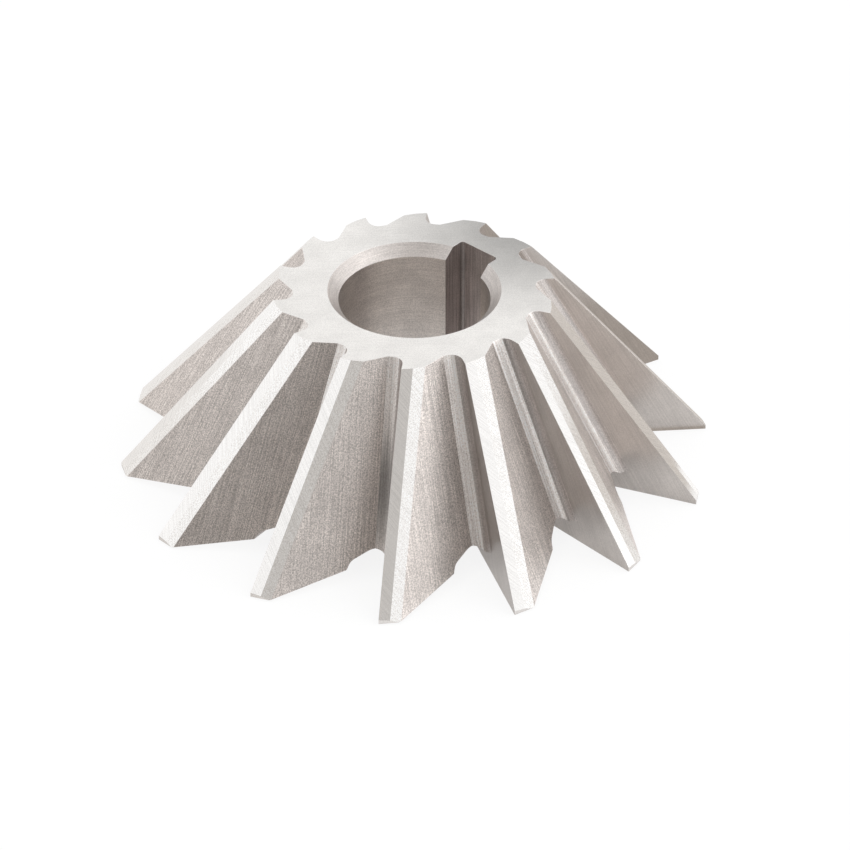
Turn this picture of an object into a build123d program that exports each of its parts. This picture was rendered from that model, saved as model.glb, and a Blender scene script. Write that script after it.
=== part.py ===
from build123d import *

import os
from math import asin, cos, degrees, radians, sin, sqrt, tan

# Single angle milling cutter, one solid piece of high speed steel that is keyed to an arbor.
# Straight teeth stand on its cone and run on as end teeth over its large face.
# The origin is on the bore's axis, in the plane of the end cutting edges.
# +Z points to the small end, and the keyway is on +X.
# Lengths are millimetres and angles are degrees.

# Blank
outer_diameter = 63.0
width = 20.3
cone_angle = 50.0  # between the cone's side and the large face
corner_flat = 0.5  # height of the short upright land at each tooth's outer corner
grinding_stock = 0.3  # stock on the turned blank that grinding the lands takes off

# Bore and keyway
bore_diameter = 16.0
bore_chamfer = 1.15
key_width = 5.0
key_depth = 2.3  # from the bore's wall to the keyway's floor
key_corner_radius = 0.4

# Hub on the large face, and the turned groove round it that the end gashes run out into
hub_diameter = 25.0
groove_depth = 3.4
groove_clearance = 0.6  # between the hub or the groove's wall and the ends of the gashes

# Teeth
tooth_count = 14
first_tooth_angle = 10.0  # from the keyway to a tooth's outer corner
rake_offset = 0.8  # the rake faces pass the axis at this distance, which gives them positive rake

# Teeth on the cone, measured square to the axis, with the clearances from square to the rake face
first_land = 1.2
first_clearance = 14.0
second_land = 1.2  # in the plane of the large face, where the back of the tooth starts behind it
second_clearance = 23.0
corner_clearance = 10.5
root_rise = 61.0  # between the bottoms of the gullets and the large face
root_width = 1.7  # flat bottom of a gullet, square to the rake face, with its round corner
root_radius = 1.1  # of the corner between that bottom and the rake face
gullet_angle = 64.5  # between the rake face and the back of the tooth behind, square to the root

# Teeth on the large face, with the clearances from the plane of the end cutting edges
end_land = 2.0
end_clearance = 4.0
end_back_clearance = 15.0

# Gashes that sink the end teeth's gullets along the rake faces
gash_width = 5.0  # in the plane of the end cutting edges
gash_depth = 3.6  # at the rake face, before the corner is rounded
gash_radius = 1.8  # between the rake face and the gash's roof
gash_roof_slope = 20.0
gash_wall_angle = 65.0  # between the gash's far wall and the large face
gash_wall_radius = 0.8

# Reach of every cut past the metal, so that no cut ends on a surface
overrun = 1.5

outer_radius = outer_diameter / 2
bore_radius = bore_diameter / 2
hub_radius = hub_diameter / 2
pitch = 360 / tooth_count
clear_of_blank = 3 * overrun
lead_reach = sqrt(outer_radius**2 - rake_offset**2)
first_rake_angle = first_tooth_angle - degrees(asin(rake_offset / outer_radius))

# The end gashes start on a flat that lies in the groove all the way across
gash_start = hub_radius + groove_clearance
groove_radius = gash_start / cos(radians(pitch)) + groove_clearance


def fall(height):
    """Distance by which the cone's cutting edges have come in at a height."""
    return (height - corner_flat) / tan(radians(cone_angle))


def polar(distance, angle):
    """Vector in the plane, by its length and its direction."""
    return Vector(distance * cos(radians(angle)), distance * sin(radians(angle)))


# The cuts of a tooth space are placed for the tooth whose rake face bounds it and looks along -Y.
# The cutting edge behind the space belongs to the next tooth round, one pitch back.
back_square = 90 - pitch
edge_way = polar(-1 / tan(radians(cone_angle)), -pitch) + Vector(0, 0, 1)
root_way = Vector(-1 / tan(radians(root_rise)), 0, 1)


def land_corners(height):
    """Cutting edge behind the space and the ends of its first and second land, at a height."""
    edge = polar(rake_offset, back_square) + polar(lead_reach - fall(height), -pitch)
    ridge = edge + polar(first_land, back_square + first_clearance)
    tail = ridge + polar(second_land, back_square + second_clearance)
    return edge, ridge, tail


# Lands on the tooth behind, ground along its cutting edge
with BuildPart() as land_space:
    edge, ridge, tail = land_corners(-overrun)
    ahead = edge - polar(overrun, back_square + first_clearance)
    behind = tail + polar(overrun, back_square + second_clearance)
    outward = polar(clear_of_blank, -pitch)
    with BuildSketch(Plane.XY.offset(-overrun)):
        with BuildLine():
            Polyline(ahead, ridge, behind, behind + outward, ahead + outward, close=True)
        make_face()
    extrude(amount=(width + 2 * overrun) * edge_way.length, dir=edge_way)

# Gullet between the back of the tooth behind and the rake face, with one profile that is milled
# along the root. The profile starts as far below the large face as it is wide.
with BuildPart() as gullet:
    tail = land_corners(0)[-1]
    back_foot = Vector(0, rake_offset - root_width)
    tail_height = (back_foot.Y - tail.Y) / tan(radians(gullet_angle))
    root_reach = tail.X - tail_height / sin(radians(root_rise))
    gullet_top = lead_reach - fall(0) - root_reach + clear_of_blank
    back_top = back_foot + polar(gullet_top / cos(radians(gullet_angle)), -gullet_angle)
    root_start = Vector(root_reach, 0, 0) - root_way * gullet_top
    with BuildSketch(Plane(origin=root_start, x_dir=(1, 0, -root_way.X), z_dir=root_way)):
        with BuildLine():
            Polyline(
                (0, rake_offset),
                back_foot,
                back_top,
                (gullet_top, rake_offset),
                close=True,
            )
        make_face()
        fillet(vertices().group_by(Axis.X)[0].sort_by(Axis.Y)[-1], radius=root_radius)
    extrude(amount=(width + 2 * gullet_top) * root_way.length)

# Space on the large face: the end land and the back-off behind it, up to the rake face
with BuildPart() as end_space:
    for station in (gash_start, outer_radius + clear_of_blank):
        edge = rake_offset / cos(radians(pitch)) - station * tan(radians(pitch))
        across = (rake_offset - edge) * cos(radians(pitch))
        land_height = end_land * tan(radians(end_clearance))
        back_height = land_height + (across - end_land) * tan(radians(end_back_clearance))
        ahead = edge - overrun / cos(radians(pitch))
        with BuildSketch(Plane.YZ.offset(station)):
            with BuildLine():
                Polyline(
                    (ahead, -overrun * tan(radians(end_clearance))),
                    (edge + end_land / cos(radians(pitch)), land_height),
                    (rake_offset, back_height),
                    (rake_offset, -overrun),
                    (ahead, -overrun),
                    close=True,
                )
            make_face()
    loft(ruled=True)

# Gash along the rake face, with one profile from the groove out past the rim
with BuildPart() as gash:
    roof_slope = tan(radians(gash_roof_slope))
    wall_slope = tan(radians(gash_wall_angle))
    roof_width = (gash_width * wall_slope - gash_depth) / (wall_slope - roof_slope)
    roof_fall = roof_width * roof_slope
    with BuildSketch(Plane.YZ.offset(gash_start)):
        with BuildLine():
            Polyline(
                (rake_offset, -overrun),
                (rake_offset, gash_depth),
                (rake_offset - roof_width, gash_depth - roof_fall),
                (rake_offset - gash_width - overrun / wall_slope, -overrun),
                close=True,
            )
        make_face()
        fillet(vertices().group_by(Axis.Y)[1], radius=gash_wall_radius)
        fillet(vertices().group_by(Axis.Y)[-1], radius=gash_radius)
    extrude(amount=outer_radius + clear_of_blank - gash_start)

# Upright clearance face behind each outer corner
with BuildPart() as corner_space:
    with BuildSketch(Plane.XY.offset(-overrun)):
        with BuildLine():
            corner = Vector(lead_reach, rake_offset)
            ahead = corner - polar(overrun, 90 + corner_clearance)
            behind = corner + polar(clear_of_blank, 90 + corner_clearance)
            Polyline(
                ahead,
                behind,
                behind + Vector(clear_of_blank, 0),
                ahead + Vector(clear_of_blank, 0),
                close=True,
            )
        make_face()
    extrude(amount=2 * overrun)

with BuildPart() as angle_cutter:
    stock_radius = outer_radius + grinding_stock
    with BuildSketch(Plane.XZ):
        with BuildLine():
            Polyline(
                (bore_radius, bore_chamfer),
                (bore_radius + bore_chamfer, 0),
                (hub_radius, 0),
                (hub_radius, groove_depth),
                (groove_radius, groove_depth),
                (groove_radius, -grinding_stock),
                (stock_radius, -grinding_stock),
                (stock_radius, corner_flat),
                (stock_radius - fall(width), width),
                (bore_radius + bore_chamfer, width),
                (bore_radius, width - bore_chamfer),
                (bore_radius, bore_chamfer),
            )
        make_face()
    revolve(axis=Axis.Z)
    with PolarLocations(0, tooth_count, start_angle=first_rake_angle):
        add(land_space.part, mode=Mode.SUBTRACT)
        add(gullet.part, mode=Mode.SUBTRACT)
        add(end_space.part, mode=Mode.SUBTRACT)
        add(gash.part, mode=Mode.SUBTRACT)
        add(corner_space.part, mode=Mode.SUBTRACT)
    with BuildSketch():
        with Locations((bore_radius + key_depth, 0)):
            keyway = Rectangle(
                bore_radius + key_depth, key_width, align=(Align.MAX, Align.CENTER)
            )
        fillet(keyway.vertices().group_by(Axis.X)[-1], radius=key_corner_radius)
    extrude(amount=width, mode=Mode.SUBTRACT)

os.makedirs("parts", exist_ok=True)
angle_cutter.part.label = "angle_cutter"
export_step(angle_cutter.part, "parts/angle_cutter.step")
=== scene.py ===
from math import atan2, cos, hypot, pi, radians, sin, tan
from typing import NamedTuple

import bmesh
import bpy
from mathutils import Matrix, Vector


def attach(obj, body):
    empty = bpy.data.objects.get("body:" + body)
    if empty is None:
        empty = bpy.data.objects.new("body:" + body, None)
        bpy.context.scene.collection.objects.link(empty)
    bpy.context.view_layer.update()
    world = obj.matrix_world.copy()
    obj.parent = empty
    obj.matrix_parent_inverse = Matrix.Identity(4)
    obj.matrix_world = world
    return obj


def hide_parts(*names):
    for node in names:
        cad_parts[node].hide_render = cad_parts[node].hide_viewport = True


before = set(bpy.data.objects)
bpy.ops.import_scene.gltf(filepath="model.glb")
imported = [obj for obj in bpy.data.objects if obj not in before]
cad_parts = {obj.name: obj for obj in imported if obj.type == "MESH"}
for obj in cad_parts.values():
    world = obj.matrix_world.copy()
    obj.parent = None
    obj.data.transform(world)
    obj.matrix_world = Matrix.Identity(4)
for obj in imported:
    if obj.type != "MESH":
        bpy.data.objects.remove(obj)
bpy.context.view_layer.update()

# The cutter's own sizes, in metres and radians
mm = 0.001
tooth_count = 14
pitch = 2 * pi / tooth_count
first_rake_angle = radians(8.545)
cone_angle = radians(50)
root_rise = radians(61)
gullet_angle = radians(64.5)
first_clearance = radians(14)
second_clearance = radians(23)
corner_clearance = radians(10.5)
end_clearance = radians(4)
end_back_clearance = radians(15)
gash_roof_slope = radians(20)
gash_wall_angle = radians(65)
deburred_edge = 0.05 * mm

# Distances from the axis, and a height, just past the faces that aren't the teeth's
wall_reach = 8.1 * mm
chamfer_reach = 9.2 * mm
keyway_reach = 11 * mm
groove_reach = 15.6 * mm
groove_top = 3.5 * mm
keyway_start = 7.6 * mm  # where the keyway's sides leave the bore's wall

# Shares of a normal along one direction that tell level, square and upright faces from others
level_share = 0.9999
square_share = 0.999
upright_share = 0.001

# A tooth's faces lie this far round from its rake face, and its gullet's this far past it
tooth_swing = 1.2 * pitch
gullet_swing = radians(3)

# A face of the gullet's flat bottom leans less than this
bottom_lean = radians(30)

# Miss that a round corner starts with, so that a flat face that fits is taken first
corner_miss = 0.02

# Limits for the merged copy: doubled points, folds in a flat face, corners and smooth edges
doubled = 0.001 * mm
flat_fold = radians(0.2)
corner_fold = radians(15)
smooth_fold = radians(20)

# Millimetres by which the marks move on from one tooth, and one surface, to the next
tooth_shift = 17.3
surface_shift = 9.1

# The photograph's camera, turned from the keyway's direction
view_azimuth = radians(-47.5)
view_elevation = radians(35.04)
view_roll = radians(-0.13)
view_distance = 531.2 * mm
aim_right = 1.07 * mm
aim_up = 2.37 * mm
lens = 209.7

# Directions in a tooth's own frame: its rake face holds the X direction and looks along -Y
X, Y, Z = Vector((1, 0, 0)), Vector((0, 1, 0)), Vector((0, 0, 1))
edge_way = Vector((-1 / tan(cone_angle), 0, 1)).normalized()
root_way = Vector((-1 / tan(root_rise), 0, 1)).normalized()
square_out = Y.cross(root_way)
back_way = square_out * cos(gullet_angle) - Y * sin(gullet_angle)
one_pitch = Matrix.Rotation(pitch, 3, "Z")


def level(angle):
    """Level direction at an angle from the rake face's direction."""
    return X * cos(angle) + Y * sin(angle)


def facing(first, second):
    """Unit normal of the plane through two directions."""
    return first.cross(second).normalized()


def underside(slope):
    """Normal of a face that rises behind the end cutting edge at a slope."""
    return Y * sin(slope) - Z * cos(slope)


# Each flat face of a tooth: its surface, its normal and the way it was machined
TOOTH_FACES = (
    ("rake", -Y, root_way),
    ("first_land", facing(level(pi / 2 + first_clearance), edge_way), edge_way),
    ("second_land", facing(level(pi / 2 + second_clearance), edge_way), edge_way),
    ("back", one_pitch @ facing(root_way, back_way), one_pitch @ root_way),
    ("root", square_out, root_way),
    ("corner", level(corner_clearance), Z),
    ("end", underside(end_clearance), X),
    ("end", underside(end_back_clearance), X),
    ("gash", underside(gash_roof_slope), X),
    ("gash", underside(gash_wall_angle), X),
)
SURFACES = (
    "face", "hub", "bore", "chamfer", "keyway", "key_corner", "rake", "first_land",
    "second_land", "back", "root", "root_corner", "corner", "end", "gash", "edge",
)
TURNED = ("bore", "chamfer")


def plain_surface(centre, normal):
    """Surface of a turned, bored or broached face, or None for a face of a tooth."""
    reach = hypot(centre.x, centre.y)
    looks_down = normal.z < -level_share
    upright = abs(normal.z) < upright_share
    if normal.z > level_share:
        return "face"
    if reach < chamfer_reach and not upright:
        return "hub" if looks_down else "chamfer"
    if reach < wall_reach and centre.x < keyway_start and normal.dot(centre) < 0:
        return "bore"
    if reach < keyway_reach and upright:
        square = max(abs(normal.x), abs(normal.y)) > square_share
        return "keyway" if square else "key_corner"
    if reach < groove_reach and centre.z < groove_top and (looks_down or upright):
        return "hub"
    return None


def tooth_surface(centre, normal):
    """Surface and tooth of a machined face of a tooth, and the way it was machined."""
    best = None
    for tooth in range(tooth_count):
        turn = Matrix.Rotation(first_rake_angle + tooth * pitch, 3, "Z")
        own_centre = turn.transposed() @ centre
        own_normal = turn.transposed() @ normal
        swing = atan2(own_centre.y, own_centre.x)
        if abs(swing) > tooth_swing:
            continue
        for surface, direction, way in TOOTH_FACES:
            miss = (own_normal - direction).length
            if best is None or miss < best[0]:
                best = (miss, surface, tooth, turn @ way)
        if -pitch < swing < gullet_swing:
            # The gullet's steeper corner faces take a darker tone than its bottom: painted shade in
            # the corners
            at_bottom = own_normal.dot(square_out) > cos(bottom_lean)
            root = "root" if at_bottom else "root_corner"
            for surface, way in ((root, root_way), ("gash", X)):
                miss = corner_miss + abs(own_normal.dot(way))
                if best is None or miss < best[0]:
                    best = (miss, surface, tooth, turn @ way)
    return best[1:]


def mesh_from(bm, name):
    """Mesh of a finished bmesh."""
    mesh = bpy.data.meshes.new(name)
    bm.to_mesh(mesh)
    bm.free()
    return mesh


def put_in_scene(data, name):
    """New object of the scene for a mesh, a lamp or a camera."""
    made = bpy.data.objects.new(name, data)
    bpy.context.scene.collection.objects.link(made)
    return made


def cutter_body():
    """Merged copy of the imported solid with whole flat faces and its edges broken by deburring."""
    bm = bmesh.new()
    bm.from_mesh(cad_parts["angle_cutter"].data)
    bmesh.ops.remove_doubles(bm, verts=bm.verts, dist=doubled)
    bmesh.ops.dissolve_limit(bm, angle_limit=flat_fold, verts=bm.verts, edges=bm.edges)
    surface_of = bm.faces.layers.int.new("surface")
    tooth_of = bm.faces.layers.int.new("tooth")
    way_of = bm.faces.layers.float_vector.new("way")
    for face in bm.faces:
        centre = face.calc_center_median()
        surface = plain_surface(centre, face.normal)
        tooth = 0
        way = Z
        if surface is None:
            surface, tooth, way = tooth_surface(centre, face.normal)
        face[surface_of] = SURFACES.index(surface)
        face[tooth_of] = tooth
        face[way_of] = way
    corners = [
        edge
        for edge in bm.edges
        if edge.is_manifold and edge.is_convex and edge.calc_face_angle() > corner_fold
    ]
    broken = bmesh.ops.bevel(
        bm,
        geom=corners,
        offset=deburred_edge,
        offset_type="OFFSET",
        affect="EDGES",
        segments=1,
        profile=0.5,
        material=-1,
        clamp_overlap=True,
    )
    for face in broken["faces"]:
        face[surface_of] = SURFACES.index("edge")
    marks = bm.loops.layers.uv.new("machining")
    for face in bm.faces:
        surface = SURFACES[face[surface_of]]
        face.smooth = True
        face.material_index = face[surface_of]
        way = face[way_of]
        across = face.normal.cross(way)
        shift = Vector((face[tooth_of] * tooth_shift, face[surface_of] * surface_shift))
        for loop in face.loops:
            place = loop.vert.co / mm
            if surface in ("face", "hub"):
                loop[marks].uv = place.xy
            else:
                loop[marks].uv = Vector((place.dot(way), place.dot(across))) + shift
    bm.normal_update()
    for edge in bm.edges:
        one, other = edge.link_faces
        same = one.material_index == other.material_index
        edge.smooth = same and edge.calc_face_angle() < smooth_fold
    return mesh_from(bm, "cutter")


cutter = put_in_scene(cutter_body(), "cutter")
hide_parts("angle_cutter")
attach(cutter, "root")


class Nodes:
    """Short way to add and join the nodes of one tree."""

    def __init__(self, tree):
        self.tree = tree

    def own(self, name):
        """Node that the tree came with."""
        return self.tree.nodes[name]

    def add(self, kind, **settings):
        node = self.tree.nodes.new(kind)
        for name, value in settings.items():
            setattr(node, name, value)
        return node

    def join(self, source, target):
        self.tree.links.new(source, target)

    def feed(self, node, *values):
        """Joins or sets a node's inputs in their order, leaving out those given as None."""
        for socket, value in zip(node.inputs, values):
            if isinstance(value, bpy.types.NodeSocket):
                self.join(value, socket)
            elif value is not None:
                socket.default_value = value
        return node

    def math(self, operation, *values):
        return self.feed(self.add("ShaderNodeMath", operation=operation), *values).outputs[0]

    def ramp(self, value, low, high, bottom=0.0, top=1.0):
        """Smooth step from bottom to top while the value goes from low to high."""
        node = self.add("ShaderNodeMapRange", interpolation_type="SMOOTHSTEP")
        return self.feed(node, value, low, high, bottom, top).outputs[0]

    def vary(self, mask, amount):
        """Factor that a mask takes from an amount under one to the same amount over it."""
        return self.ramp(mask, 0, 1, 1 - amount, 1 + amount)


def new_group(name, inputs, outputs):
    """Empty node group with float sockets, and its input and output nodes."""
    group = bpy.data.node_groups.new(name, "ShaderNodeTree")
    for label in inputs:
        group.interface.new_socket(label, in_out="INPUT", socket_type="NodeSocketFloat")
    for label in outputs:
        group.interface.new_socket(label, in_out="OUTPUT", socket_type="NodeSocketFloat")
    nodes = Nodes(group)
    return group, nodes, nodes.add("NodeGroupInput"), nodes.add("NodeGroupOutput")


def new_material(name):
    """Material and its nodes."""
    material = bpy.data.materials.new(name)
    material.use_nodes = True
    return material, Nodes(material.node_tree)


def mark_noises(nodes, along, across, result):
    """Fine marks, and coarser scattered scores, drawn out along one way of a surface."""
    for label, density, low, high in (("Marks", 1.0, 0.3, 0.7), ("Scores", 0.6, 0.58, 0.74)):
        stretched = nodes.add("ShaderNodeVectorMath", operation="MULTIPLY_ADD")
        nodes.feed(stretched, along, (density, density, density), across)
        streaks = nodes.add("ShaderNodeTexNoise", normalize=True)
        nodes.join(stretched.outputs[0], streaks.inputs["Vector"])
        streaks.inputs["Scale"].default_value = density
        streaks.inputs["Detail"].default_value = 3
        streaks.inputs["Roughness"].default_value = 0.6
        nodes.join(nodes.ramp(streaks.outputs["Fac"], low, high), result.inputs[label])


def tool_mark_group():
    """Straight marks and scores left by a tool, at a slant to the surface's machining way."""
    group, nodes, given, result = new_group(
        "tool marks", ("Length", "Width", "Slant"), ("Marks", "Scores")
    )
    place = nodes.add("ShaderNodeUVMap", uv_map="machining")
    turned = nodes.add("ShaderNodeVectorRotate", rotation_type="Z_AXIS")
    nodes.join(place.outputs["UV"], turned.inputs["Vector"])
    nodes.join(given.outputs["Slant"], turned.inputs["Angle"])
    split = nodes.feed(nodes.add("ShaderNodeSeparateXYZ"), turned.outputs[0])
    along = nodes.add("ShaderNodeCombineXYZ")
    nodes.feed(along, nodes.math("DIVIDE", split.outputs[0], given.outputs["Length"]))
    across = nodes.add("ShaderNodeCombineXYZ")
    nodes.feed(across, None, nodes.math("DIVIDE", split.outputs[1], given.outputs["Width"]))
    mark_noises(nodes, along.outputs[0], across.outputs[0], result)
    return group


def turned_mark_group():
    """Marks and scores that run round the bore's axis."""
    group, nodes, given, result = new_group(
        "turned marks", ("Length", "Width"), ("Marks", "Scores")
    )
    place = nodes.add("ShaderNodeTexCoord").outputs["Object"]
    split = nodes.feed(nodes.add("ShaderNodeSeparateXYZ"), place)
    flat = nodes.feed(nodes.add("ShaderNodeCombineXYZ"), split.outputs[0], split.outputs[1])
    reach = nodes.feed(nodes.add("ShaderNodeVectorMath", operation="LENGTH"), flat.outputs[0])
    along = nodes.feed(nodes.add("ShaderNodeVectorMath", operation="NORMALIZE"), flat.outputs[0])
    turns = nodes.math("DIVIDE", chamfer_reach / mm, given.outputs["Length"])
    round_axis = nodes.add("ShaderNodeVectorMath", operation="SCALE")
    nodes.join(along.outputs[0], round_axis.inputs[0])
    nodes.join(turns, round_axis.inputs["Scale"])
    # The marks follow one another up the bore and out over its chamfers
    step = nodes.math("MULTIPLY_ADD", split.outputs[2], 2.0, reach.outputs["Value"])
    step = nodes.math("DIVIDE", nodes.math("DIVIDE", step, mm), given.outputs["Width"])
    across = nodes.feed(nodes.add("ShaderNodeCombineXYZ"), None, None, step)
    mark_noises(nodes, round_axis.outputs[0], across.outputs[0], result)
    return group


# Sizes of the torn grain and of the drifts of tone, in millimetres
grain_size = 0.12
drift_size = 3.0

# Depth of the marks where they feel deepest, and the grain's height as a share of theirs
mark_depth = 0.01 * mm
grain_height = 0.6


def grain_group():
    """Torn grain of the steel and slow drifts of its tone, in the object's own millimetres."""
    group, nodes, given, result = new_group("grain", ("Size",), ("Grain", "Drift"))
    place = nodes.add("ShaderNodeTexCoord")
    scaled = nodes.add("ShaderNodeVectorMath", operation="SCALE")
    scaled.inputs["Scale"].default_value = 1 / mm
    nodes.join(place.outputs["Object"], scaled.inputs[0])
    for label, size, detail in (("Grain", given.outputs["Size"], 2), ("Drift", drift_size, 3)):
        noise = nodes.add("ShaderNodeTexNoise", normalize=True)
        nodes.join(scaled.outputs[0], noise.inputs["Vector"])
        nodes.join(nodes.math("DIVIDE", 1.0, size), noise.inputs["Scale"])
        noise.inputs["Detail"].default_value = detail
        nodes.join(nodes.ramp(noise.outputs["Fac"], 0.3, 0.7), result.inputs[label])
    return group


class Finish(NamedTuple):
    """What a tool left on a surface, with lengths in millimetres; the root's tones also hold
    painted light and shade.
    """

    tone: tuple
    roughness: float
    drawn: float  # how far reflections are drawn out across the marks
    slant: float  # degrees between the marks and the way the surface was machined
    length: float  # of the marks, and their width
    width: float
    marked: float  # how far marks, scores, grain and drifts take the tone
    scored: float
    grained: float
    drifting: float
    feel: float  # how much of their depth the marks have


FINISHES = {
    "face": Finish((0.83, 0.81, 0.785), 0.34, 0.2, 47, 5, 0.14, 0.025, 0.02, 0.08, 0.03, 0.12),
    "hub": Finish((0.78, 0.75, 0.72), 0.36, 0.2, 47, 5, 0.12, 0.06, 0.05, 0.05, 0.04, 0.1),
    "bore": Finish((0.77, 0.725, 0.69), 0.36, 0.3, 0, 5, 0.25, 0.06, 0.06, 0.13, 0.06, 0.3),
    "chamfer": Finish((0.61, 0.57, 0.545), 0.44, 0.2, 0, 3, 0.3, 0.07, 0.16, 0.10, 0.05, 0.3),
    "keyway": Finish((0.60, 0.55, 0.535), 0.40, 0.3, 0, 9, 0.25, 0.16, 0.12, 0.12, 0.05, 0.3),
    "key_corner": Finish((0.42, 0.385, 0.375), 0.50, 0, 0, 9, 0.25, 0.16, 0.12, 0.12, 0.05, 0.2),
    "rake": Finish((0.525, 0.49, 0.465), 0.30, 0.2, 0, 7, 0.16, 0.06, 0.05, 0.07, 0.03, 0.15),
    "first_land": Finish((0.93, 0.915, 0.90), 0.17, 0, -45, 8, 0.12, 0.05, 0.03, 0.03, 0.01, 0.08),
    "second_land": Finish((0.94, 0.92, 0.90), 0.20, 0, -45, 8, 0.12, 0.06, 0.03, 0.10, 0.02, 0.09),
    "back": Finish((0.69, 0.64, 0.61), 0.44, 0.5, 0, 10, 0.14, 0.15, 0.16, 0.27, 0.04, 0.4),
    # The root's pale tone is partly painted light along the gullet's bottom; its corners' darker
    # tone is painted shade
    "root": Finish((0.95, 0.895, 0.86), 0.48, 0.4, 0, 12, 0.14, 0.20, 0.10, 0.18, 0.03, 0.4),
    "root_corner": Finish((0.56, 0.52, 0.50), 0.34, 0.5, 0, 12, 0.14, 0.15, 0.12, 0.16, 0.03, 0.4),
    "corner": Finish((0.72, 0.69, 0.67), 0.24, 0, 45, 3, 0.10, 0.05, 0.03, 0.05, 0.02, 0.1),
    "end": Finish((0.80, 0.77, 0.75), 0.20, 0, 60, 4, 0.10, 0.05, 0.03, 0.05, 0.02, 0.1),
    "gash": Finish((0.60, 0.555, 0.53), 0.36, 0.5, 0, 6, 0.15, 0.12, 0.12, 0.18, 0.04, 0.3),
    "edge": Finish((0.88, 0.86, 0.84), 0.25, 0, 0, 3, 0.3, 0.05, 0.03, 0.05, 0.02, 0.1),
}
# Patches of painted shade, or of painted light where the loss is negative: middle, reach and loss
# of tone
PAINTED_SHADE_AND_LIGHT = {
    "face": ((16 * mm, -1 * mm, 20 * mm), 20 * mm, 0.5),
    "bore": ((7 * mm, -5 * mm, 13 * mm), 7 * mm, -0.25),
    "root": ((-17 * mm, -11 * mm, 9 * mm), 11 * mm, 0.65),
}


def shade_and_light_level(nodes, surface):
    """Tone's level round the patch of painted shade or painted light that a surface has."""
    middle, reach, loss = PAINTED_SHADE_AND_LIGHT[surface]
    place = nodes.add("ShaderNodeTexCoord")
    away = nodes.add("ShaderNodeVectorMath", operation="DISTANCE")
    nodes.feed(away, place.outputs["Object"], middle)
    return nodes.ramp(away.outputs["Value"], 0.0, reach, 1 - loss, 1.0)


def steel(surface, groups):
    """Bare steel with the finish that a tool left on a surface, and painted shade or light on some
    surfaces.
    """
    finish = FINISHES[surface]
    material, nodes = new_material(f"steel {surface.replace('_', ' ')}")
    shader = nodes.own("Principled BSDF")
    straight, turned, grain = groups
    marks = nodes.add("ShaderNodeGroup", node_tree=turned if surface in TURNED else straight)
    nodes.feed(marks, finish.length, finish.width)
    if surface not in TURNED:
        marks.inputs["Slant"].default_value = radians(finish.slant)
    grains = nodes.add("ShaderNodeGroup", node_tree=grain)
    nodes.feed(grains, grain_size)
    level = nodes.vary(marks.outputs["Marks"], finish.marked)
    share = nodes.math("MULTIPLY_ADD", marks.outputs["Scores"], finish.scored, level)
    speckle = nodes.vary(grains.outputs["Grain"], finish.grained)
    drift = nodes.vary(grains.outputs["Drift"], finish.drifting)
    share = nodes.math("MULTIPLY", nodes.math("MULTIPLY", share, speckle), drift)
    # Painted shade, or painted light where the loss is negative, round a patch of the surface
    if surface in PAINTED_SHADE_AND_LIGHT:
        share = nodes.math("MULTIPLY", share, shade_and_light_level(nodes, surface))
    colour = nodes.add("ShaderNodeVectorMath", operation="SCALE")
    colour.inputs[0].default_value = finish.tone
    nodes.join(share, colour.inputs["Scale"])
    nodes.join(colour.outputs[0], shader.inputs["Base Color"])
    height = nodes.math(
        "MULTIPLY_ADD", grains.outputs["Grain"], grain_height, marks.outputs["Marks"]
    )
    bump = nodes.add("ShaderNodeBump")
    bump.inputs["Strength"].default_value = finish.feel
    bump.inputs["Distance"].default_value = mark_depth
    nodes.join(height, bump.inputs["Height"])
    nodes.join(bump.outputs[0], shader.inputs["Normal"])
    shader.inputs["Metallic"].default_value = 1
    shader.inputs["Roughness"].default_value = finish.roughness
    if finish.drawn and surface not in TURNED:
        shader.inputs["Anisotropic"].default_value = finish.drawn
        shader.inputs["Anisotropic Rotation"].default_value = 0.25
        tangent = nodes.add("ShaderNodeTangent", direction_type="UV_MAP", uv_map="machining")
        nodes.join(tangent.outputs[0], shader.inputs["Tangent"])
    return material


groups = (tool_mark_group(), turned_mark_group(), grain_group())
for surface in SURFACES:
    cutter.data.materials.append(steel(surface, groups))


# Grey screens that the metal sees: from and to which side of the camera and how soft, from and
# to which height and how soft, in degrees, and how much light they take
SCREENS = (
    (-33, 21, 3, 30, 62, 4, 0.46),
    (-60, 26, 16, -4, 30, 4, 0.70),
    (-9, 9, 5, 4, 29, 5, 0.80),
)
# Powers of the screens' light that make red, green and blue, so that their dark is warm
screen_warmth = (1.0, 1.06, 1.12)


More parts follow.
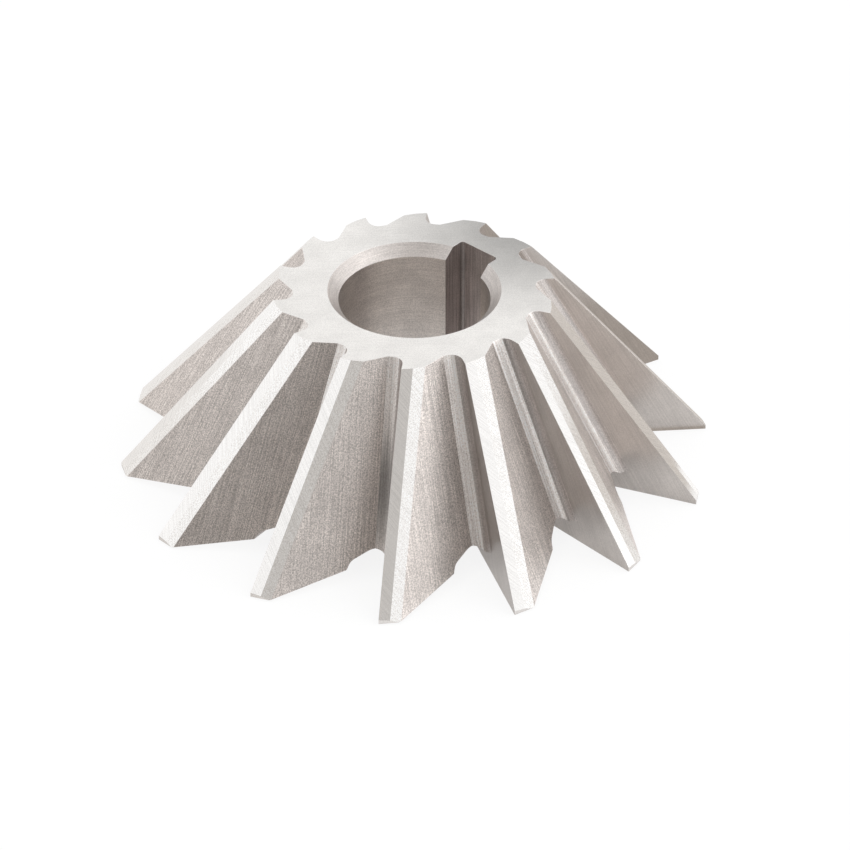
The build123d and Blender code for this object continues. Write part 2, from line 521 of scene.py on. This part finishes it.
def white_world():
    """White room, with grey screens round the camera that only the metal sees."""
    world = bpy.data.worlds.new("white room")
    bpy.context.scene.world = world
    world.use_nodes = True
    nodes = Nodes(world.node_tree)
    background = nodes.own("Background")
    way = nodes.add("ShaderNodeTexCoord").outputs["Generated"]
    turned = nodes.add("ShaderNodeVectorRotate", rotation_type="Z_AXIS")
    nodes.join(way, turned.inputs["Vector"])
    turned.inputs["Angle"].default_value = -view_azimuth
    split = nodes.feed(nodes.add("ShaderNodeSeparateXYZ"), turned.outputs[0])
    toward_camera = nodes.math("MULTIPLY", split.outputs[1], -1.0)
    azimuth = nodes.math("ARCTAN2", split.outputs[0], toward_camera)
    height = nodes.math("ARCSINE", split.outputs[2])
    light = 1.0
    for left, right, side_blur, low, high, blur, shade in SCREENS:
        edges = (
            nodes.ramp(azimuth, radians(left - side_blur), radians(left + side_blur)),
            nodes.ramp(azimuth, radians(right - side_blur), radians(right + side_blur), 1.0, 0.0),
            nodes.ramp(height, radians(low - blur), radians(low + blur)),
            nodes.ramp(height, radians(high - blur), radians(high + blur), 1.0, 0.0),
        )
        cover = shade
        for edge in edges:
            cover = nodes.math("MULTIPLY", cover, edge)
        light = nodes.math("MULTIPLY", light, nodes.math("SUBTRACT", 1.0, cover))
    rays = nodes.add("ShaderNodeLightPath")
    pick = nodes.add("ShaderNodeMix", data_type="FLOAT")
    nodes.feed(pick, rays.outputs["Is Glossy Ray"])
    pick.inputs[2].default_value = 1
    nodes.join(light, pick.inputs[3])
    warm = nodes.add("ShaderNodeCombineXYZ")
    for socket, power in zip(warm.inputs, screen_warmth):
        nodes.join(nodes.math("POWER", pick.outputs[0], power), socket)
    nodes.join(warm.outputs[0], background.inputs["Color"])
    background.inputs["Strength"].default_value = 1


# Half the floor's side, its drop under the cutter, and the white that the camera and metal see
floor_reach = 4.0
floor_drop = 0.02 * mm
shown_white = 0.85
mirrored_white = 0.4


def white_floor():
    """Pale floor that shows white and keeps a faint shadow."""
    bm = bmesh.new()
    bmesh.ops.create_grid(bm, x_segments=1, y_segments=1, size=floor_reach)
    material, nodes = new_material("pale floor")
    shader = nodes.own("Principled BSDF")
    shader.inputs["Base Color"].default_value = (1, 1, 1, 1)
    shader.inputs["Roughness"].default_value = 0.9
    shader.inputs["Specular IOR Level"].default_value = 0
    glow = nodes.add("ShaderNodeEmission")
    rays = nodes.add("ShaderNodeLightPath")
    seen, through = rays.outputs["Is Camera Ray"], rays.outputs["Is Transmission Ray"]
    shown = nodes.math("MULTIPLY", nodes.math("MAXIMUM", seen, through), shown_white)
    mirrored = nodes.math("MULTIPLY", rays.outputs["Is Glossy Ray"], mirrored_white)
    shown = nodes.math("ADD", shown, mirrored)
    mix = nodes.feed(nodes.add("ShaderNodeMixShader"), shown, shader.outputs[0], glow.outputs[0])
    nodes.join(mix.outputs[0], nodes.own("Material Output").inputs["Surface"])
    floor = put_in_scene(mesh_from(bm, "floor"), "floor")
    floor.data.materials.append(material)
    floor.location.z = -floor_drop


# Powers of a card's strength that make red, green and blue, so that a darker card is warmer
card_warmth = (0.0, 0.15, 0.3)
card_steps = 8


def card(name, sides, reaches, heights, strength):
    """Warm grey arc between two sides of the camera, from rim to rim, that only the metal sees."""
    left, right = (view_azimuth + radians(side) for side in sides)
    outward = Vector((sin(left), -cos(left), 0))
    bm = bmesh.new()
    ends = [bm.verts.new(outward * reach + Z * height) for reach, height in zip(reaches, heights)]
    line = bm.edges.new(ends)
    bmesh.ops.spin(
        bm, geom=[*ends, line], cent=(0, 0, 0), axis=Z, angle=right - left, steps=card_steps
    )
    material, nodes = new_material(name)
    glow = nodes.add("ShaderNodeEmission")
    glow.inputs["Color"].default_value = (*(strength**power for power in card_warmth), 1)
    glow.inputs["Strength"].default_value = strength
    nodes.join(glow.outputs[0], nodes.own("Material Output").inputs["Surface"])
    piece = put_in_scene(mesh_from(bm, name), name)
    piece.data.materials.append(material)
    piece.visible_camera = False
    piece.visible_diffuse = False
    piece.visible_shadow = False


lamp_distance = 0.5


def soft_lamp(name, side, height, width, tall, power):
    """Soft box that looks at the cutter from a side of the camera, at a height, in degrees."""
    data = bpy.data.lights.new(name, "AREA")
    data.shape = "RECTANGLE"
    data.size = width
    data.size_y = tall
    data.energy = power
    lamp = put_in_scene(data, name)
    lamp.matrix_world = (
        Matrix.Rotation(view_azimuth + radians(side), 4, "Z")
        @ Matrix.Rotation(pi / 2 - radians(height), 4, "X")
        @ Matrix.Translation((0, 0, lamp_distance))
    )
    lamp.visible_camera = False


# Sheets lie round the cutter on the floor, out to where cards stand, in two strengths
sheet_start = 25 * mm
card_reach = 80 * mm
grey, pale = 0.62, 0.87

white_world()
white_floor()
card("grey sheet", (95, 165), (sheet_start, card_reach), (0, 0), grey)
card("grey card", (95, 165), (card_reach, card_reach), (0, 24 * mm), grey)
card("pale sheet", (-170, -15), (sheet_start, card_reach), (0, 0), pale)
card("pale card", (-170, -95), (card_reach, card_reach), (0, 22 * mm), pale)
soft_lamp("right lamp", 82, 9, 0.30, 0.16, 0.14)
soft_lamp("high lamp", 105, 52, 0.34, 0.34, 0.40)

camera_data = bpy.data.cameras.new("view")
camera_data.lens = lens
camera = put_in_scene(camera_data, "view")
camera.matrix_world = (
    Matrix.Rotation(view_azimuth, 4, "Z")
    @ Matrix.Rotation(pi / 2 - view_elevation, 4, "X")
    @ Matrix.Rotation(view_roll, 4, "Z")
    @ Matrix.Translation((aim_right, aim_up, view_distance))
)
bpy.context.scene.camera = camera
bpy.context.scene.view_settings.view_transform = "Standard"
